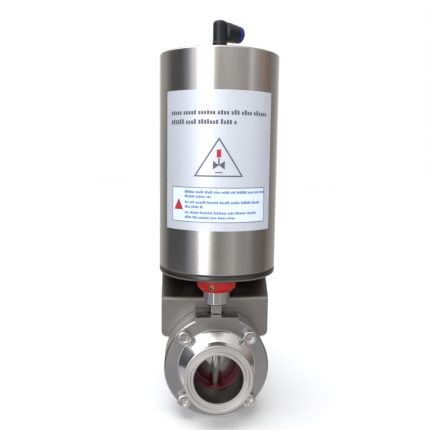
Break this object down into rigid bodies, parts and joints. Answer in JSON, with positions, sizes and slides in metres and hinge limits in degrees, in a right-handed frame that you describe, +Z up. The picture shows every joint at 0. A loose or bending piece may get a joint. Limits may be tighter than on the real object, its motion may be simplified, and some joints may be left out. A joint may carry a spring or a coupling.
{
  "type": "pneumatic actuated butterfly valve",
  "caption": "Sanitary butterfly valve with clamp ferrules, turned a quarter turn by a vertical spring-return pneumatic piston actuator on a bent sheet bracket.",
  "frame": {"origin": "where the pipe bore's axis crosses the stem's axis, at the centre of the disc", "axes": "+Z up along the stem to the actuator, Y along the pipe bore with -Y at the front, +X to the right seen from the front"},
  "size_m": [0.088, 0.0884, 0.2992],
  "materials": {
    "brushed_stainless": "drawn and brushed round the axis",
    "turned_stainless": "finely turned and part polished",
    "sheet_stainless": "bead blasted sheet",
    "fastener_steel": "plain",
    "inner_steel": "machined",
    "spring_steel": "oiled",
    "aluminium": "machined",
    "nickelled_brass": "nickel plated",
    "bush_plastic": "machined",
    "black_rubber": "matt",
    "seat_rubber": "matt",
    "red_plastic": "moulded, slightly worn",
    "black_plastic": "moulded",
    "blue_plastic": "moulded",
    "label_film": "printed satin film"
  },
  "bodies": {
    "housing": {"actuator_shell": "brushed_stainless", "bottom_cover": "turned_stainless", "cover_gasket": "black_rubber", "label": "label_film", "front_body_half": "turned_stainless", "rear_body_half": "turned_stainless", "seat_ring": "seat_rubber", "stem_bush_upper": "bush_plastic", "stem_bush_lower": "bush_plastic", "stem_seal": "black_rubber", "bracket": "sheet_stainless", "guide_tube": "inner_steel", "thrust_washer": "bush_plastic", "shaft_bush": "bush_plastic", "shaft_seal": "black_rubber", "return_spring": "spring_steel", "elbow_stud": "nickelled_brass", "body_bolt_1": "fastener_steel", "body_washer_1": "fastener_steel", "body_nut_1": "fastener_steel", "cover_screw_1": "fastener_steel", "body_bolt_2": "fastener_steel", "body_washer_2": "fastener_steel", "body_nut_2": "fastener_steel", "cover_screw_2": "fastener_steel", "body_bolt_3": "fastener_steel", "body_washer_3": "fastener_steel", "body_nut_3": "fastener_steel", "cover_screw_3": "fastener_steel", "body_bolt_4": "fastener_steel", "body_washer_4": "fastener_steel", "body_nut_4": "fastener_steel", "cover_screw_4": "fastener_steel"},
    "piston_assembly": {"piston": "aluminium", "piston_seal": "black_rubber", "piston_guide_band": "bush_plastic", "piston_rod": "inner_steel", "piston_nut": "inner_steel", "cross_pin": "inner_steel"},
    "drive_train": {"output_shaft": "inner_steel", "drive_coupling": "turned_stainless", "indicator_hub": "red_plastic", "hub_set_screw": "nickelled_brass", "disc": "turned_stainless"},
    "elbow": {"elbow_body": "black_plastic", "elbow_o_ring": "black_rubber", "tube_seal": "black_rubber", "grip_collet": "inner_steel"},
    "release": {"release_ring": "blue_plastic"}
  },
  "joints": [
    {"name": "piston_stroke", "type": "slide", "parent": "housing", "child": "piston_assembly", "axis": [0, 0, -1], "range_m": [0, 0.03], "stiffness_N_per_m": 1500, "springref_m": -0.02, "deforming": ["return_spring"]},
    {"name": "stem_turn", "type": "hinge", "parent": "housing", "child": "drive_train", "pos_m": [0, 0, 0], "axis": [0, 0, 1], "range_deg": [0, 90]},
    {"name": "elbow_swivel", "type": "hinge", "parent": "housing", "child": "elbow", "pos_m": [0, 0, 0.2403], "axis": [0, 0, 1], "continuous": true},
    {"name": "release_push", "type": "slide", "parent": "elbow", "child": "release", "axis": [-0.766, -0.6428, 0], "range_m": [0, 0.001], "stiffness_N_per_m": 400}
  ],
  "couplings": [
    {"joint": "stem_turn", "follows": "piston_stroke", "rad_per_m": 52.36}
  ]
}
